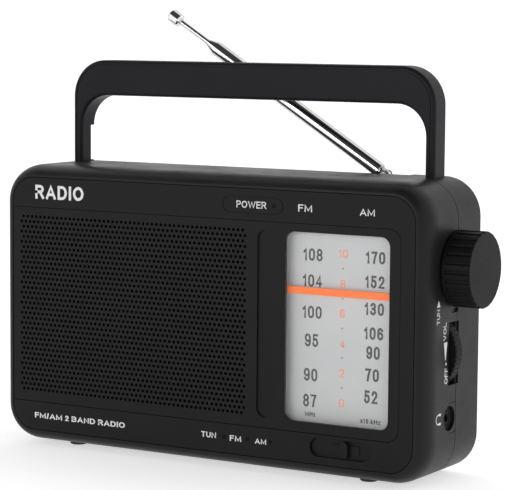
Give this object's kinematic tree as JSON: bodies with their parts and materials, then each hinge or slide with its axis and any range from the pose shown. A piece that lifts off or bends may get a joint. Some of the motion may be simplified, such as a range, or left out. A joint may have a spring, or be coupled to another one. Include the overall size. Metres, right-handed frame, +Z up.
{
  "type": "portable radio receiver",
  "caption": "Portable two-band table radio with a perforated speaker grille, tall dial window, side tuning knob, carrying handle and telescopic antenna.",
  "frame": {"origin": "centre of the cabinet's footprint, on the surface that the rubber feet stand on", "axes": "+X to the right as seen from the dial side, +Y from front to back, +Z up"},
  "size_m": [0.2465, 0.0576, 0.2134],
  "materials": {
    "shell_black": "fine grained moulded plastic, charcoal black",
    "face_black": "smooth satin black",
    "clear_lens": "clear moulded acrylic",
    "scale_white": "printed pale grey",
    "pointer_orange": "fluorescent orange",
    "inner_plastic": "plain moulded",
    "white_plastic": "plain moulded nylon",
    "chrome": "bright plated",
    "steel": "plated steel",
    "brass": "nickel brass contact",
    "rubber": "soft rubber",
    "board": "phenolic circuit board",
    "ferrite": "sintered ferrite",
    "cone_paper": "pressed paper cone",
    "winding": "enamelled copper winding, stated as brass",
    "lamp": "tinted lamp body"
  },
  "bodies": {
    "cabinet": {"front_shell": "shell_black", "faceplate": "face_black", "grille_panel": "face_black", "dial_lens": "clear_lens", "dial_scale": "scale_white", "dial_chassis": "inner_plastic", "chassis_screws": "steel", "pointer_rail": "steel", "tuning_capacitor": "white_plastic", "volume_pot": "steel", "band_switch": "steel", "switch_board": "board", "lamp_board": "board", "power_lamp": "lamp", "band_lamps": "lamp", "earphone_jack": "inner_plastic", "speaker_frame": "steel", "speaker_cone": "cone_paper", "speaker_magnet": "ferrite", "speaker_screws": "steel", "main_board": "board", "board_screws": "steel", "board_cans": "steel", "board_capacitors": "inner_plastic", "board_chips": "inner_plastic", "ferrite_rod": "ferrite", "ferrite_coil": "winding", "ferrite_clips": "white_plastic", "rear_shell": "shell_black", "case_screws": "steel", "battery_springs": "steel", "battery_contacts": "brass", "feet": "rubber", "handle": "shell_black", "handle_screws": "steel", "antenna_plate": "chrome"},
    "tuning": {"tuning_knob": "shell_black", "tuning_shaft": "steel"},
    "pointer": {"dial_pointer": "pointer_orange"},
    "drum": {"tuning_drum": "white_plastic"},
    "pulley_left": {"cord_pulley_left": "white_plastic"},
    "pulley_right": {"cord_pulley_right": "white_plastic"},
    "volume": {"volume_wheel": "shell_black"},
    "band": {"band_slider": "face_black"},
    "door": {"battery_door": "shell_black"},
    "antenna_base": {"antenna_swivel": "chrome", "antenna_pin": "steel"},
    "antenna_1": {"antenna_tube_1": "chrome"},
    "antenna_2": {"antenna_tube_2": "chrome"},
    "antenna_3": {"antenna_tube_3": "chrome"},
    "antenna_4": {"antenna_tube_4": "chrome"},
    "antenna_5": {"antenna_tube_5": "chrome"},
    "antenna_6": {"antenna_rod": "chrome"}
  },
  "joints": [
    {"name": "tuning_turn", "type": "hinge", "parent": "cabinet", "child": "tuning", "pos_m": [0, 0.0014, 0.0984], "axis": [1, 0, 0], "range_deg": [-770.97, 308.95]},
    {"name": "pointer_slide", "type": "slide", "parent": "cabinet", "child": "pointer", "axis": [0, 0, 1], "range_m": [-0.05495, 0.02205]},
    {"name": "drum_turn", "type": "hinge", "parent": "cabinet", "child": "drum", "pos_m": [0.052, 0, 0.046], "axis": [0, 1, 0], "range_deg": [-128.7, 51.7]},
    {"name": "left_pulley_turn", "type": "hinge", "parent": "cabinet", "child": "pulley_left", "pos_m": [0.03252, 0, 0.119], "axis": [0, 1, 0], "range_deg": [-629.6, 252.6]},
    {"name": "right_pulley_turn", "type": "hinge", "parent": "cabinet", "child": "pulley_right", "pos_m": [0.07148, 0, 0.119], "axis": [0, 1, 0], "range_deg": [-629.6, 252.6]},
    {"name": "volume_turn", "type": "hinge", "parent": "cabinet", "child": "volume", "pos_m": [0.0992, 0, 0.06], "axis": [0, 1, 0], "range_deg": [-150, 150]},
    {"name": "band_slide", "type": "slide", "parent": "cabinet", "child": "band", "axis": [1, 0, 0], "range_m": [-0.0046, 0]},
    {"name": "door_lift", "type": "slide", "parent": "cabinet", "child": "door", "axis": [0, 1, 0], "range_m": [0, 0.03]},
    {"name": "antenna_swivel", "type": "hinge", "parent": "cabinet", "child": "antenna_base", "pos_m": [0.0676, 0.02475, 0.1323], "axis": [0, 0, -1], "range_deg": [0, 150]},
    {"name": "antenna_tilt", "type": "hinge", "parent": "antenna_base", "child": "antenna_1", "pos_m": [0.0676, 0.02475, 0.137], "axis": [0, 1, 0], "range_deg": [-31.7, 58.3]},
    {"name": "antenna_slide_1", "type": "slide", "parent": "antenna_1", "child": "antenna_2", "axis": [-0.8508, 0, 0.5255], "range_m": [0, 0.088]},
    {"name": "antenna_slide_2", "type": "slide", "parent": "antenna_2", "child": "antenna_3", "axis": [-0.8508, 0, 0.5255], "range_m": [0, 0.088]},
    {"name": "antenna_slide_3", "type": "slide", "parent": "antenna_3", "child": "antenna_4", "axis": [-0.8508, 0, 0.5255], "range_m": [0, 0.088]},
    {"name": "antenna_slide_4", "type": "slide", "parent": "antenna_4", "child": "antenna_5", "axis": [-0.8508, 0, 0.5255], "range_m": [0, 0.088]},
    {"name": "antenna_slide_5", "type": "slide", "parent": "antenna_5", "child": "antenna_6", "axis": [-0.8508, 0, 0.5255], "range_m": [-0.0192, 0.0665]}
  ],
  "couplings": [
    {"joint": "pointer_slide", "follows": "tuning_turn", "m_per_rad": 0.00408},
    {"joint": "drum_turn", "follows": "tuning_turn", "ratio": 0.16668},
    {"joint": "left_pulley_turn", "follows": "tuning_turn", "ratio": 0.816},
    {"joint": "right_pulley_turn", "follows": "tuning_turn", "ratio": 0.816}
  ]
}
